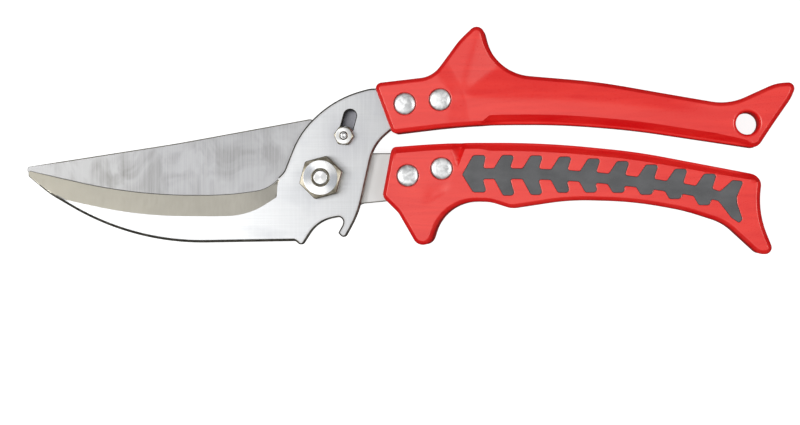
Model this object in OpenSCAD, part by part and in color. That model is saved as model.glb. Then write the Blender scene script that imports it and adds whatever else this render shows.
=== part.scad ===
// Pruning shears with two ground blades, a bottle-opener notch and moulded handles.
// They lie flat and closed. X runs from the blade tips to the handle butts, Y across the
// blades towards the upper handle, and Z up through the thickness. Sizes are millimetres.
//
// The upper handle and the lower blade are one body, the lower handle and the upper blade
// the other, and they turn on the pivot bolt. Outlines are lists of corners
// [x, y, fillet radius], counter-clockwise, with the pivot's axis at x = 0, y = 0.
// Heights are measured from the plane where the two blade plates meet.

/* [Blades] */
// Thickness of each blade plate
plate_t = 3; // [2.8:0.1:3.1]
// Gap that parts the two plates
plate_gap = 0.1; // [0.06:0.02:0.2]
// Steel left at the cutting edges
edge_t = 0.5; // [0.3:0.1:1]

/* [Handles] */
// Thickness over both halves of a handle
handle_t = 15; // [14.8:0.1:16]
// Width of the rounded rim round a handle's face
rim_w = 1.8; // [1:0.1:1.8]
// Height of that rim
rim_h = 1.9; // [1:0.1:2.2]
// Depth of the soft fish-bone inlays
inlay_t = 1.2; // [0.8:0.1:1.6]
// Diameter of the hole to hang the shears by
hang_d = 7.4; // [6:0.1:8]

/* [Pivot] */
// Diameter of the pivot bolt's shoulder, which both plates turn on
shoulder_d = 8; // [7:0.1:8.5]
// How far the shears open, in degrees
open_angle = 28; // [20:1:28]
// Radial clearance of the front plate on that shoulder
pivot_clear = 0.05; // [0.02:0.01:0.09]
// Size of the pivot nut over its flats
nut_af = 13; // [12:0.5:14]
// Height of the pivot nut
nut_h = 5; // [4:0.25:5.5]
// Diameter of the flange on the bolt's head, which keeps the spring in
flange_d = 17; // [16:0.5:17]

/* [Spring] */
// Diameter of the spring's wire
wire_d = 1; // [0.8:0.05:1]
// Mean radius of its coil
coil_r = 6.4; // [6.2:0.1:6.6]
// Distance of the two spring pegs from the pivot
peg_r = 9.8; // [9.6:0.1:10]
// Diameter of the spring pegs
peg_d = 2.4; // [2:0.1:2.6]

/* [Lock] */
// Diameter of the lock's stud
stud_d = 4; // [3.6:0.1:4.2]
// How far the lock slides
lock_travel = 6.9; // [5:0.1:7]
// Direction of the slide, from +X
lock_angle = 74.3; // [70:0.1:78]
// Diameter of the thumb button on the back
button_d = 10; // [8:0.5:11]

/* [Rivets] */
// Diameter of the rivets' barrels
rivet_d = 5; // [4.5:0.1:5.2]
// Diameter of their heads
rivet_head_d = 7.2; // [6.8:0.1:7.4]

/* [Hidden] */
$fn = 64;

// Place of the pivot in the part's frame: its origin is the middle of the underside
pivot_at = [-27, -12.37, handle_t / 2];

steel = [0.80, 0.81, 0.83];
dark_steel = [0.62, 0.63, 0.66];
red = [0.86, 0.10, 0.10];
soft_grey = [0.27, 0.27, 0.28];

// Heights of the plates' faces
front_z0 = plate_gap / 2;
front_z1 = plate_t;
fit = 0.05;

// Outline of the upper handle
upper_outline = [[23.9, 14.6, 1.8], [50, 17.65, 240], [80, 17.65, 260], [104, 15.6, 250],
                 [144.2, 9.4, 3.5], [149.5, 17.5, 40], [155.2, 25.8, 12], [157.3, 31.1, 2],
                 [150.4, 30.8, 14], [135, 23.8, 18], [92, 31.65, 200], [58.2, 34.7, 16.5],
                 [53.4, 52.4, 2.6], [46.2, 45.6, 25], [37.4, 33.6, 9], [17.6, 31.4, 2]];
// Outline of the lower handle, with its finger hook
lower_outline = [[20.6, -6.4, 2.5], [26, -11.8, 8], [35.1, -27.6, 3.5], [41.4, -7.9, 14.5],
                 [56.6, -8.15, 15], [63.6, -10.4, 6], [83, -7.45, 80], [104.5, -8.1, 120],
                 [121, -11.15, 60], [133.5, -15.2, 16], [144.4, -25.3, 4], [150, -25.5, 2.2],
                 [144.4, -11.5, 30], [145.9, 0.4, 4], [105, 8.35, 200], [74, 11.5, 300],
                 [42, 11.5, 300], [23.7, 10.15, 1.8]];
// Outline of the front plate: its tang, the lower blade and the bottle-opener notch
front_outline = [[16, 29.9, 8], [4.1, 26.7, 36], [-7.8, 15.3, 30], [-13.1, 2, 6],
                 [-18.9, -3.8, 13], [-33, -5.8, 110], [-64.7, -5.7, 180], [-101.75, 2.6, 0.4],
                 [-101.6, 0.7, 1.3], [-93.7, -5.5, 30], [-64.5, -22.3, 90], [-9.2, -21.35, 0.5],
                 [-7, -23.1, 1.3], [-1.6, -14.5, 12], [7.3, -12.9, 1.6], [6.9, -15.7, 3],
                 [5.3, -18.6, 0.5], [7.4, -20.7, 1.2], [12.1, -12.2, 35], [17.3, 11, 15],
                 [25.2, 17.7, 10], [47, 20.5, 3], [47, 30.3, 3]];
// Outline of the rear plate: its tang and the upper blade, cut back round the lock's stud
rear_outline = [[-102.3, 3.9, 0.6], [-102.3, 2.2, 0.6], [-62, -9, 150], [-14, -10.4, 40],
                [-3, -12.8, 12], [7, -12.6, 8], [13.2, -8.7, 3], [46.5, -5.5, 3], [46.5, 8.2, 3],
                [10.2, 8.3, 1.5], [5.3, 14.4, 12.3], [-3.2, 12.8, 1.2], [-3.2, 20.1, 1.5],
                [-50, 11.8, 300]];
// Cutting edges and the far sides of the ground strips, with the far side on the right
front_edge = [[-104, 3.1, 0], [-64.7, -5.7, 180], [-33, -5.8, 110], [-20, -3.9, 13], [-15.2, 0.2, 0]];
front_grind = [[-104, -4, 0], [-63, -12.8, 150], [-38, -13, 110], [-25.4, -12.8, 25], [-15.6, -6.6, 0]];
rear_edge = [[-17, -10.3, 0], [-62, -9, 150], [-105, 2.9, 0]];
rear_grind = [[-17, -3.4, 0], [-62, -2, 150], [-104, 10.4, 0]];

// Rivet places
upper_rivet_at = [[28.2, 24.5], [40, 25.8]];
lower_rivet_at = [[29.2, 0.6], [40.5, 2.9]];
hang_at = [141, 17.6];
stud_at = [7.5, 14.05];

// ---- Outlines ----

function unit(a) = a / norm(a);
function turn_between(u, v) = atan2(u[0] * v[1] - u[1] * v[0], u * v);
function left_of(u) = [-u[1], u[0]];

// Arc that rounds corner b between a and c, after the outline moves inwards by inset
function corner_arc(a, b, c, inset, steps) =
    let (u = unit([b[0] - a[0], b[1] - a[1]]),
         v = unit([c[0] - b[0], c[1] - b[1]]),
         turn = turn_between(u, v),
         side = turn >= 0 ? 1 : -1,
         m = left_of(u) + left_of(v),
         p = [b[0], b[1]] + m * inset / (1 + left_of(u) * left_of(v)),
         r = max(b[2] - side * inset, 0.3),
         start = p - u * r * tan(abs(turn) / 2),
         centre = start + left_of(u) * side * r,
         a0 = atan2(start[1] - centre[1], start[0] - centre[0]))
    [for (i = [0:steps]) centre + r * [cos(a0 + turn * i / steps), sin(a0 + turn * i / steps)]];

// Number of steps in a corner's arc
function arc_steps(a, b, c, step = 8) =
    max(2, ceil(abs(turn_between(unit([b[0] - a[0], b[1] - a[1]]), unit([c[0] - b[0], c[1] - b[1]]))) / step));

// Closed outline with every corner rounded
function rounded(v, inset = 0) =
    let (n = len(v))
    [for (i = [0:n - 1])
        let (a = v[(i + n - 1) % n], b = v[i], c = v[(i + 1) % n])
        each corner_arc(a, b, c, inset, arc_steps(a, b, c))];

// Open line with its inner corners rounded
function rounded_line(v, steps = 10) =
    [[v[0][0], v[0][1]],
     for (i = [1:len(v) - 2]) each corner_arc(v[i - 1], v[i], v[i + 1], 0, steps),
     [v[len(v) - 1][0], v[len(v) - 1][1]]];

// ---- Solids from outlines ----

// Two triangles between points i and j of ring a and ring b
function band(a, b, i, j) = [[a + i, b + j, a + j], [a + i, b + i, b + j]];

// Skin through equal rings of points, closed with flat ends
module loft(rings) {
    n = len(rings[0]);
    last = len(rings) - 1;
    polyhedron([for (ring = rings) each ring],
               concat([[for (i = [0:n - 1]) i]],
                      [for (k = [0:last - 1], i = [0:n - 1]) each band(k * n, k * n + n, i, (i + 1) % n)],
                      [[for (i = [n - 1:-1:0]) last * n + i]]));
}

// Skin through equal rings of points, where the last ring joins the first
module loop(rings) {
    n = len(rings[0]);
    count = len(rings);
    polyhedron([for (ring = rings) each ring],
               [for (k = [0:count - 1], i = [0:n - 1])
                   each band(k * n, (k + 1) % count * n, i, (i + 1) % n)]);
}

// One half of a handle: flat at the joint, with a rounded rim round its outer face
module half_shell(outline) {
    top = handle_t / 2;
    // Inset and height of the loops that bound what the rim takes away
    levels = [[-1, top - rim_h], [-1, top + 1], [rim_w, top + 1], [rim_w, top],
              [rim_w * 0.3, top - rim_h * 0.35], [0, top - rim_h]];
    difference() {
        plate(outline, 0, top);
        loop([for (level = levels) [for (p = rounded(outline, level[0])) [p[0], p[1], level[1]]]]);
    }
}

// Plate between two heights
module plate(outline, z0, z1) {
    translate([0, 0, z0])
        linear_extrude(z1 - z0)
            polygon(rounded(outline));
}

// Wedge that grinds a strip, with the whole plate at its far side and edge_t at the edge
module grind(edge, far) {
    e = rounded_line(edge);
    f = rounded_line(far);
    over = 0.25;
    slope = plate_t - edge_t;
    sections = [for (i = [0:len(e) - 1])
                   let (out = e[i] + (e[i] - f[i]) * over)
                   [[f[i][0], f[i][1], plate_t],
                    [out[0], out[1], plate_t - slope * (1 + over)],
                    [out[0], out[1], plate_t + 1],
                    [f[i][0], f[i][1], plate_t + 1]]];
    loft(sections);
}

// Straight barrel
module barrel(at, r, z0, z1) {
    translate([at[0], at[1], z0])
        cylinder(h = z1 - z0, r = r);
}

// Slot with round ends, from a place along the lock's direction
module lock_slot(r, length, z0, z1) {
    translate([stud_at[0], stud_at[1], z0])
        rotate(lock_angle) {
            cylinder(h = z1 - z0, r = r);
            translate([length, 0, 0])
                cylinder(h = z1 - z0, r = r);
            translate([0, -r, 0])
                cube([length, 2 * r, z1 - z0]);
        }
}

// Hexagon nut with chamfered corners and a bore
module hex_nut(af, z0, h, bore_r) {
    corner_r = af / sqrt(3);
    chamfer = corner_r - af / 2 * 0.93;
    translate([0, 0, z0])
        difference() {
            intersection() {
                cylinder(h = h, r = corner_r, $fn = 6);
                rotate_extrude()
                    polygon([[0, 0], [corner_r - chamfer / 2, 0], [corner_r, chamfer * 0.3],
                             [corner_r, h - chamfer * 0.6], [corner_r - chamfer, h], [0, h]]);
            }
            translate([0, 0, -1])
                cylinder(h = h + 2, r = bore_r);
        }
}

// ---- Blades ----

module front_blade() {
    color(steel)
        difference() {
            plate(front_outline, front_z0, front_z1);
            grind(front_edge, front_grind);
            barrel([0, 0], shoulder_d / 2 + pivot_clear, -1, plate_t + 1);
            lock_slot(stud_d / 2 + 0.1, lock_travel + 0.1, -1, plate_t + 1);
            barrel(peg_place(peg_angle), peg_d / 2, -1, plate_t - 1);
            for (at = upper_rivet_at)
                barrel(at, rivet_d / 2 + fit, -1, plate_t + 1);
        }
}

module rear_blade() {
    color(dark_steel)
        difference() {
            plate(rear_outline, -plate_t, -front_z0);
            mirror([0, 0, 1])
                grind(rear_edge, rear_grind);
            barrel([0, 0], shoulder_d / 2 + 0.02, -plate_t - 1, 1);
            peg_window();
            barrel(peg_place(stop_angle), peg_d / 2, -plate_t - 1, -1);
            for (at = lower_rivet_at)
                barrel(at, rivet_d / 2 + fit, -plate_t - 1, 1);
        }
}

// Curved window in the rear plate that the front plate's spring peg travels in
module peg_window() {
    r = peg_d / 2 + 0.4;
    spare = asin(r / peg_r);
    translate([0, 0, -plate_t - 1])
        rotate(peg_angle - spare)
            rotate_extrude(angle = open_angle + 2 * spare)
                translate([peg_r - r, 0])
                    square([2 * r, plate_t + 2]);
}

// ---- Handles ----

module rivet_holes(places) {
    for (at = places) {
        barrel(at, rivet_d / 2 + fit, -1, handle_t);
        barrel(at, rivet_head_d / 2 + 0.25, handle_t / 2 - 1, handle_t);
    }
}

module hang_hole() {
    barrel(hang_at, hang_d / 2, -1, handle_t);
    translate([hang_at[0], hang_at[1], handle_t / 2 - 0.6])
        cylinder(h = 1.2, r1 = hang_d / 2, r2 = hang_d / 2 + 1);
}

module upper_half() {
    difference() {
        half_shell(upper_outline);
        rivet_holes(upper_rivet_at);
        hang_hole();
    }
}

module upper_handle_front() {
    color(red)
        difference() {
            upper_half();
            plate(front_outline, -1, front_z1 + fit);
        }
}

module upper_handle_rear() {
    color(red)
        mirror([0, 0, 1])
            upper_half();
}

module lower_half() {
    difference() {
        half_shell(lower_outline);
        rivet_holes(lower_rivet_at);
        fish_bone(0.02, handle_t / 2 - inlay_t, handle_t);
    }
}

module lower_handle_front() {
    color(red)
        lower_half();
}

module lower_handle_rear() {
    color(red)
        difference() {
            mirror([0, 0, 1])
                lower_half();
            plate(rear_outline, -plate_t - fit, 1);
        }
}

// ---- Soft inlays: a fish bone that follows the lower handle's curve ----

bone_start = 57.9;
bone_pitch = 9.35;
bone_count = 8;
bone_spine = 1.75;
bone_up = 6.1;
// The upper ribs stand a little further apart than the lower ones
upper_pitch = 9.47;
// How far each lower rib reaches below the spine
bone_down = [7.3, 6.9, 5.8, 5.1, 4.3, 3.8, 3.8, 4.2];

// Middle of the spine
function bone_y(x) = 1.2 - pow(max(x - 60, 0), 2) / 700;

module fish_bone_2d() {
    // Arrow head
    polygon([[47.4, 0.9], [51, 7.3], [55.3, 7.3], [54.3, 2.95], [58, 2.8], [58, -0.6], [54.2, -0.6],
             [55.5, -5], [51, -5]]);
    // Spine
    spine_x = [for (i = [0:12]) 57 + i * 6.4];
    polygon(concat([for (x = spine_x) [x, bone_y(x) + bone_spine]],
                   [for (i = [12:-1:0]) [spine_x[i], bone_y(spine_x[i]) - bone_spine]]));
    // Ribs
    for (i = [0:bone_count - 1])
        let (x = bone_start + i * bone_pitch, u = bone_start + i * upper_pitch, y = bone_y(x + 3),
             d = bone_down[i], reach = 5.75 + (d - 3.8) * 0.36) {
            polygon([[u - 0.5, y + 1], [u + 2.7, y + bone_up], [u + 6.8, y + bone_up], [u + 5.1, y + 1]]);
            polygon([[x - 0.5, y - 1], [x + 5.3, y - 1], [x + reach, y - d], [x + d / 2.4, y - d]]);
        }
    // Tail fork
    polygon([[131.4, -4.6], [136.1, -1.1], [139.7, -1.4], [137.5, -6.5], [137.5, -8.5], [139.2, -14],
             [138.2, -15], [135.7, -13.4], [131.3, -7.6]]);
}

// The same, with soft corners
module fish_bone(grow, z0, z1) {
    translate([0, 0, z0])
        linear_extrude(z1 - z0)
            offset(r = grow + 0.5, $fn = 12)
                offset(r = -1, $fn = 12)
                    offset(r = 0.5, $fn = 12)
                        fish_bone_2d();
}

module grip_inlay_front() {
    color(soft_grey)
        fish_bone(0, handle_t / 2 - inlay_t, handle_t / 2);
}

module grip_inlay_rear() {
    color(soft_grey)
        mirror([0, 0, 1])
            fish_bone(0, handle_t / 2 - inlay_t, handle_t / 2);
}

// ---- Pivot ----

thread_r = 2.95;
boss_r = 5;
flange_t = 1.2;
flange_z = -handle_t / 2 + 0.1;
bolt_end = front_z1 + nut_h + 0.3;

module pivot_bolt() {
    flange_r = flange_d / 2;
    color(steel)
        difference() {
            rotate_extrude()
                polygon([[0, flange_z], [flange_r - 0.6, flange_z], [flange_r, flange_z + 0.5],
                         [flange_r, flange_z + flange_t], [boss_r, flange_z + flange_t],
                         [boss_r, -plate_t - fit], [shoulder_d / 2, -plate_t - fit],
                         [shoulder_d / 2, front_z1], [thread_r, front_z1],
                         [thread_r, bolt_end - 0.35], [thread_r - 0.35, bolt_end], [0, bolt_end]]);
            // Dimple in the bolt's end and a slot for a driver in its head
            translate([0, 0, bolt_end - 0.6])
                cylinder(h = 1, r1 = 1.2, r2 = 1.9);
            translate([-6, -0.7, flange_z - 1])
                cube([12, 1.4, 1.7]);
        }
}

module pivot_nut() {
    color(steel)
        rotate(15)
            hex_nut(nut_af, front_z1 + fit, nut_h, thread_r + 0.02);
}

// ---- Opening spring ----

peg_angle = -60;
stop_angle = 165;
// Angle between a peg and the place where the wire leaves the coil to pass that peg
leg_angle = acos((coil_r - peg_d / 2 - wire_d / 2 - 0.02) / peg_r);
leg_l = peg_r * sin(leg_angle) + 1.4;
coil_a0 = stop_angle + leg_angle;
coil_a1 = peg_angle - leg_angle + 360 * 3;
coil_z0 = flange_z + flange_t + wire_d / 2 + 0.02;
coil_z1 = -plate_t - wire_d / 2 - 0.04;

function peg_place(a) = peg_r * [cos(a), sin(a)];

// Circle of the wire at place p, square to direction t, which lies nearly level
function wire_ring(p, t) =
    let (side = unit([t[1], -t[0], 0]))
    [for (k = [0:7]) p + wire_d / 2 * (side * cos(k * 45) + [0, 0, 1] * sin(k * 45))];

function coil_point(a, z) = [coil_r * cos(a), coil_r * sin(a), z];

module torsion_spring() {
    steps = 72;
    t0 = [-sin(coil_a0), cos(coil_a0), 0];
    t1 = [-sin(coil_a1), cos(coil_a1), 0];
    coil = [for (i = [0:steps])
               let (a = coil_a0 + (coil_a1 - coil_a0) * i / steps,
                    z = coil_z0 + (coil_z1 - coil_z0) * i / steps)
               wire_ring(coil_point(a, z), [-sin(a), cos(a), 0])];
    color(dark_steel)
        loft(concat([wire_ring(coil_point(coil_a0, coil_z0) - leg_l * t0, t0)],
                    coil,
                    [wire_ring(coil_point(coil_a1, coil_z1) + leg_l * t1, t1)]));
}

module spring_peg() {
    at = peg_place(peg_angle);
    color(dark_steel)
        barrel(at, peg_d / 2, -plate_t - 1.8, plate_t - 1);
}

module spring_stop() {
    color(dark_steel)
        barrel(peg_place(stop_angle), peg_d / 2, flange_z + 0.6, -1);
}

// ---- Lock ----

washer_t = 0.45;
lock_nut_af = 6;
lock_nut_h = 2.1;
lock_plate_t = 1.1;
lock_thread_r = 1.25;
lock_plate_z = -plate_t - fit - lock_plate_t;
button_z = flange_z;

module at_stud() {
    translate([stud_at[0], stud_at[1], 0])
        children();
}

module lock_stud() {
    top = front_z1 + washer_t + lock_nut_h + 0.35;
    color(steel)
        at_stud()
            rotate_extrude()
                polygon([[0, button_z + 0.8], [1.5, button_z + 0.8], [1.5, lock_plate_z + lock_plate_t],
                         [stud_d / 2, lock_plate_z + lock_plate_t], [stud_d / 2, front_z1],
                         [lock_thread_r, front_z1], [lock_thread_r, top - 0.25],
                         [lock_thread_r - 0.25, top], [0, top]]);
}

module lock_nut() {
    color(steel)
        at_stud()
            rotate(-5)
                hex_nut(lock_nut_af, front_z1 + fit + washer_t, lock_nut_h, lock_thread_r + 0.02);
}

module lock_washer() {
    color(steel)
        at_stud()
            translate([0, 0, front_z1 + fit])
                difference() {
                    cylinder(h = washer_t, r = 3.2);
                    translate([0, 0, -1])
                        cylinder(h = 3, r = lock_thread_r + 0.05);
                }
}

module lock_plate() {
    w = 9;
    color(dark_steel)
        at_stud()
            rotate(lock_angle)
                translate([0, 0, lock_plate_z])
                    difference() {
                        union() {
                            translate([-1, -w / 2, 0])
                                cube([6.5, w, lock_plate_t]);
                            translate([-0.5, 0, 0])
                                cylinder(h = lock_plate_t, r = w / 2);
                            translate([5.5, 0, 0])
                                cylinder(h = lock_plate_t, r = w / 2);
                        }
                        translate([0, 0, -1])
                            cylinder(h = 3, r = 1.52);
                    }
}

module lock_button() {
    color(soft_grey)
        at_stud()
            difference() {
                rotate_extrude()
                    polygon([[0, button_z], [button_d / 2 - 1.2, button_z], [button_d / 2 - 0.2, button_z + 0.6],
                             [button_d / 2, button_z + 1.4], [button_d / 2, lock_plate_z - fit],
                             [0, lock_plate_z - fit]]);
                // Blind hole for the stud
                translate([0, 0, button_z + 0.75])
                    cylinder(h = 5, r = 1.52);
                // Grip notches round the rim
                for (k = [0:11])
                    rotate(k * 30)
                        translate([button_d / 2 + 0.35, 0, button_z - 1])
                            cylinder(h = 6, r = 0.8);
            }
}

// ---- Rivets: a headed pin from the front in a headed barrel from the back ----

rivet_pin_r = 1.5;
head_top = handle_t / 2 + 0.3;
head_bottom = handle_t / 2 - 1;

// Domed rivet head that stands on the plane z = 0
module rivet_head(h) {
    r = rivet_head_d / 2;
    rim = h * 0.4;
    dome_r = (r * r + (h - rim) * (h - rim)) / (2 * (h - rim));
    intersection() {
        cylinder(h = h, r = r);
        translate([0, 0, h - dome_r])
            sphere(r = dome_r);
    }
}

module rivet_pins(places) {
    for (at = places)
        translate([at[0], at[1], 0]) {
            translate([0, 0, head_bottom])
                rivet_head(head_top - head_bottom);
            translate([0, 0, -head_bottom + 1])
                cylinder(h = 2 * head_bottom - 1, r = rivet_pin_r);
        }
}

module rivet_barrels(places) {
    for (at = places)
        translate([at[0], at[1], 0])
            difference() {
                union() {
                    mirror([0, 0, 1])
                        translate([0, 0, head_bottom])
                            rivet_head(0.9);
                    translate([0, 0, -head_bottom])
                        cylinder(h = 2 * head_bottom - 0.1, r = rivet_d / 2);
                }
                translate([0, 0, -head_bottom + 0.9])
                    cylinder(h = handle_t, r = rivet_pin_r + 0.02);
            }
}

module upper_rivets() {
    color(steel)
        rivet_pins(upper_rivet_at);
}

module upper_rivet_caps() {
    color(steel)
        rivet_barrels(upper_rivet_at);
}

module lower_rivets() {
    color(steel)
        rivet_pins(lower_rivet_at);
}

module lower_rivet_caps() {
    color(steel)
        rivet_barrels(lower_rivet_at);
}

translate(pivot_at) {
    front_blade();
    rear_blade();
    upper_handle_front();
    upper_handle_rear();
    lower_handle_front();
    lower_handle_rear();
    grip_inlay_front();
    grip_inlay_rear();
    pivot_bolt();
    pivot_nut();
    torsion_spring();
    spring_peg();
    spring_stop();
    lock_stud();
    lock_nut();
    lock_washer();
    lock_plate();
    lock_button();
    upper_rivets();
    upper_rivet_caps();
    lower_rivets();
    lower_rivet_caps();
}
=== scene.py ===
import math

import bpy
import numpy as np
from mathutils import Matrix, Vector, geometry


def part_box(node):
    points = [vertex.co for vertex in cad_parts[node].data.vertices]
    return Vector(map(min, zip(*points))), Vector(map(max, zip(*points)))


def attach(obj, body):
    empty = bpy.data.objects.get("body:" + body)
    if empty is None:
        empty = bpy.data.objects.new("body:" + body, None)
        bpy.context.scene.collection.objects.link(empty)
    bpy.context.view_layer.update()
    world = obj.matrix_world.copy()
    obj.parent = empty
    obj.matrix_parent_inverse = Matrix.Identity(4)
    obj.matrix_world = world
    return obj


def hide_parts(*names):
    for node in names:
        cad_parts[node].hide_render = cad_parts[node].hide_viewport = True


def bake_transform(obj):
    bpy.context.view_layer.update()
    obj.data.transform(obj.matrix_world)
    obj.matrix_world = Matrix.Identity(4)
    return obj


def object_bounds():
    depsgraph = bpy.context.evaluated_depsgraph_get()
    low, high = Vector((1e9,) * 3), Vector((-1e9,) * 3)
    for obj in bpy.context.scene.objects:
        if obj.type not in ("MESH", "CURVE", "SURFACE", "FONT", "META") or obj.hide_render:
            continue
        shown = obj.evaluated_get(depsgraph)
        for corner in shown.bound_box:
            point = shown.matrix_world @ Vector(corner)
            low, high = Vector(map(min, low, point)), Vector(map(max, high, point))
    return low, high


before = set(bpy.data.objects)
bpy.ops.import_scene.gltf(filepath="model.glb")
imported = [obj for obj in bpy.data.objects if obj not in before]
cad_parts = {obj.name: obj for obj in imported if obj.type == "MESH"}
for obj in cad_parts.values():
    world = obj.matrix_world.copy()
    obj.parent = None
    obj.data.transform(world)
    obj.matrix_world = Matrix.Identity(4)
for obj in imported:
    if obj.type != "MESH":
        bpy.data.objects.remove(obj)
cad_low, cad_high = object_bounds()

# Shapes are drawn in millimetres about the pivot's axis, with z = 0 where the two blade plates meet.
MM = 0.001
bolt_low, bolt_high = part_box("pivot_bolt")
PIVOT = np.array([(bolt_low.x + bolt_high.x) / 2, (bolt_low.y + bolt_high.y) / 2,
                  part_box("upper_handle_front")[0].z])


def levels(node):
    """Heights of a CAD node's low and high ends."""
    return [(end.z - PIVOT[2]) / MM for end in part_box(node)]


TOP = levels("upper_handle_front")[1]     # outer face of a handle half
GAP, PLATE_T = levels("front_blade")      # back and front faces of the front plate
EDGE_T = 0.5                              # steel left at the cutting edges

# Outlines are lists of corners [x, y, fillet radius], counter-clockwise.
UPPER = [[23.9, 14.6, 1.8], [50, 17.65, 240], [80, 17.65, 260], [104, 15.6, 250], [144.2, 9.4, 3.5],
         [149.5, 17.5, 40], [155.2, 25.8, 12], [157.3, 31.1, 2], [150.4, 30.8, 14], [135, 23.8, 18],
         [92, 31.65, 200], [58.2, 34.7, 16.5], [53.4, 52.39, 2.6], [46.2, 45.6, 25], [37.4, 33.6, 9],
         [17.6, 31.4, 2]]
LOWER = [[20.6, -6.4, 2.5], [26, -11.8, 8], [35.1, -27.6, 3.5], [41.4, -7.9, 14.5], [56.6, -8.15, 15],
         [63.6, -10.4, 6], [83, -7.45, 80], [104.5, -8.1, 120], [121, -11.15, 60], [133.5, -15.2, 16],
         [144.4, -25.3, 4], [150, -25.5, 2.2], [144.4, -11.5, 30], [145.9, 0.4, 4], [105, 8.35, 200],
         [74, 11.5, 300], [42, 11.5, 300], [23.7, 10.15, 1.8]]
FRONT = [[16, 29.9, 8], [4.1, 26.7, 36], [-7.8, 15.3, 30], [-13.1, 2, 6], [-18.9, -3.8, 13],
         [-33, -5.8, 110], [-64.7, -5.7, 180], [-101.75, 2.6, 0.4], [-101.6, 0.7, 1.3],
         [-93.7, -5.5, 30], [-64.5, -22.3, 90], [-9.2, -21.35, 0.5], [-7, -23.1, 1.3],
         [-1.6, -14.5, 12], [7.3, -12.9, 1.6], [6.9, -15.7, 3], [5.3, -18.6, 0.5], [7.4, -20.7, 1.2],
         [12.1, -12.2, 35], [17.3, 11, 15], [25.2, 17.7, 10], [47, 20.5, 3], [47, 30.3, 3]]
REAR = [[-102.3, 3.9, 0.6], [-102.3, 2.2, 0.6], [-62, -9, 150], [-14, -10.4, 40], [-3, -12.8, 12],
        [7, -12.6, 8], [13.2, -8.7, 3], [46.5, -5.5, 3], [46.5, 8.2, 3], [10.2, 8.3, 1.5],
        [5.3, 14.4, 12.3], [-3.2, 12.8, 1.2], [-3.2, 20.1, 1.5], [-50, 11.8, 300]]
# Cutting edges and the far sides of the strips ground along them
FRONT_EDGE = [[-104, 3.1, 0], [-64.7, -5.7, 180], [-33, -5.8, 110], [-20, -3.9, 13], [-15.2, 0.2, 0]]
FRONT_GRIND = [[-104, -4, 0], [-63, -12.8, 150], [-38, -13, 110], [-25.4, -12.8, 25], [-15.6, -6.6, 0]]
REAR_EDGE = [[-17, -10.3, 0], [-62, -9, 150], [-105, 2.9, 0]]
REAR_GRIND = [[-17, -3.4, 0], [-62, -2, 150], [-104, 10.4, 0]]

UPPER_RIVETS = [[28.2, 24.5], [40, 25.8]]
LOWER_RIVETS = [[29.2, 0.6], [40.5, 2.9]]
HEAD_R, BARREL_R, SHANK_R = 3.6, 2.5, 1.5
SEAT = TOP - 1                            # floor of the recesses that the rivets' heads sit in
HANG_AT, HANG_R = (141, 17.6), 3.7
STUD_AT, STUD_R = (7.5, 14.05), 1.5
LOCK_ANGLE, LOCK_TRAVEL = math.radians(74.3), 6.9
PEG_R, PIN_R = 9.8, 1.2                   # circle that the spring's two pins stand on, and their radius
PEG_ANGLE, STOP_ANGLE = math.radians(-60), math.radians(165)
OPENING = math.radians(28)


# ---- Curves in the plane ----

def unit(v):
    return v / np.linalg.norm(v)


def left(v):
    return np.array([-v[1], v[0]])


def around(angle):
    """Unit vector at an angle, or at each of several."""
    return np.stack([np.cos(angle), np.sin(angle)], -1)


def corner(before, here, after, inset):
    """Arc that rounds one corner after its two sides move inwards by inset."""
    step, chord = 5.0, 2.2      # longest pieces of the arc, in degrees and in millimetres
    p, radius = np.array(here[:2], float), here[2]
    u = unit(p - np.array(before[:2], float))
    v = unit(np.array(after[:2], float) - p)
    turn = math.atan2(u[0] * v[1] - u[1] * v[0], u @ v)
    side = math.copysign(1, turn)
    p = p + (left(u) + left(v)) * inset / (1 + left(u) @ left(v))
    r = max(radius - side * inset, 0.05)
    start = p - u * r * math.tan(abs(turn) / 2)
    centre = start + left(u) * side * r
    first = math.atan2(start[1] - centre[1], start[0] - centre[0])
    count = max(2, math.ceil(math.degrees(abs(turn)) / step), math.ceil(abs(turn) * radius / chord))
    return centre + r * around(first + turn * np.arange(count + 1) / count)


def rounded(outline, inset=0.0):
    """Closed outline with every corner rounded."""
    n = len(outline)
    return np.array([p for i in range(n)
                     for p in corner(outline[i - 1], outline[i], outline[(i + 1) % n], inset)])


def line(points):
    """Open line with its inner corners rounded."""
    inner = [p for i in range(1, len(points) - 1)
             for p in corner(points[i - 1], points[i], points[i + 1], 0)]
    return np.array([points[0][:2], *inner, points[-1][:2]], float)


def gaps(ring):
    return np.linalg.norm(np.roll(ring, -1, 0) - ring, axis=1)


def nested(outline, insets, spacing=1.6):
    """The outline at several insets, as rings whose points correspond, with its straights divided."""
    base = rounded(outline)
    keep = gaps(base) > 0.004
    counts = np.maximum(1, np.ceil(gaps(base[keep]) / spacing)).astype(int)
    rings = []
    for inset in insets:
        ring = rounded(outline, inset)[keep]
        ahead = np.roll(ring, -1, 0)
        rings.append(np.array([a + (b - a) * k / n for a, b, n in zip(ring, ahead, counts)
                               for k in range(n)]))
    return rings


def circle(at, r):
    return at + r * around(np.arange(48) * math.pi / 24)


def capsule(at, r, length, angle):
    """Slot with round ends, from a place along a direction."""
    half = r * around(np.linspace(-math.pi / 2, math.pi / 2, 25) + angle)
    return np.concatenate([at + length * around(angle) + half, at - half])


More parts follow.
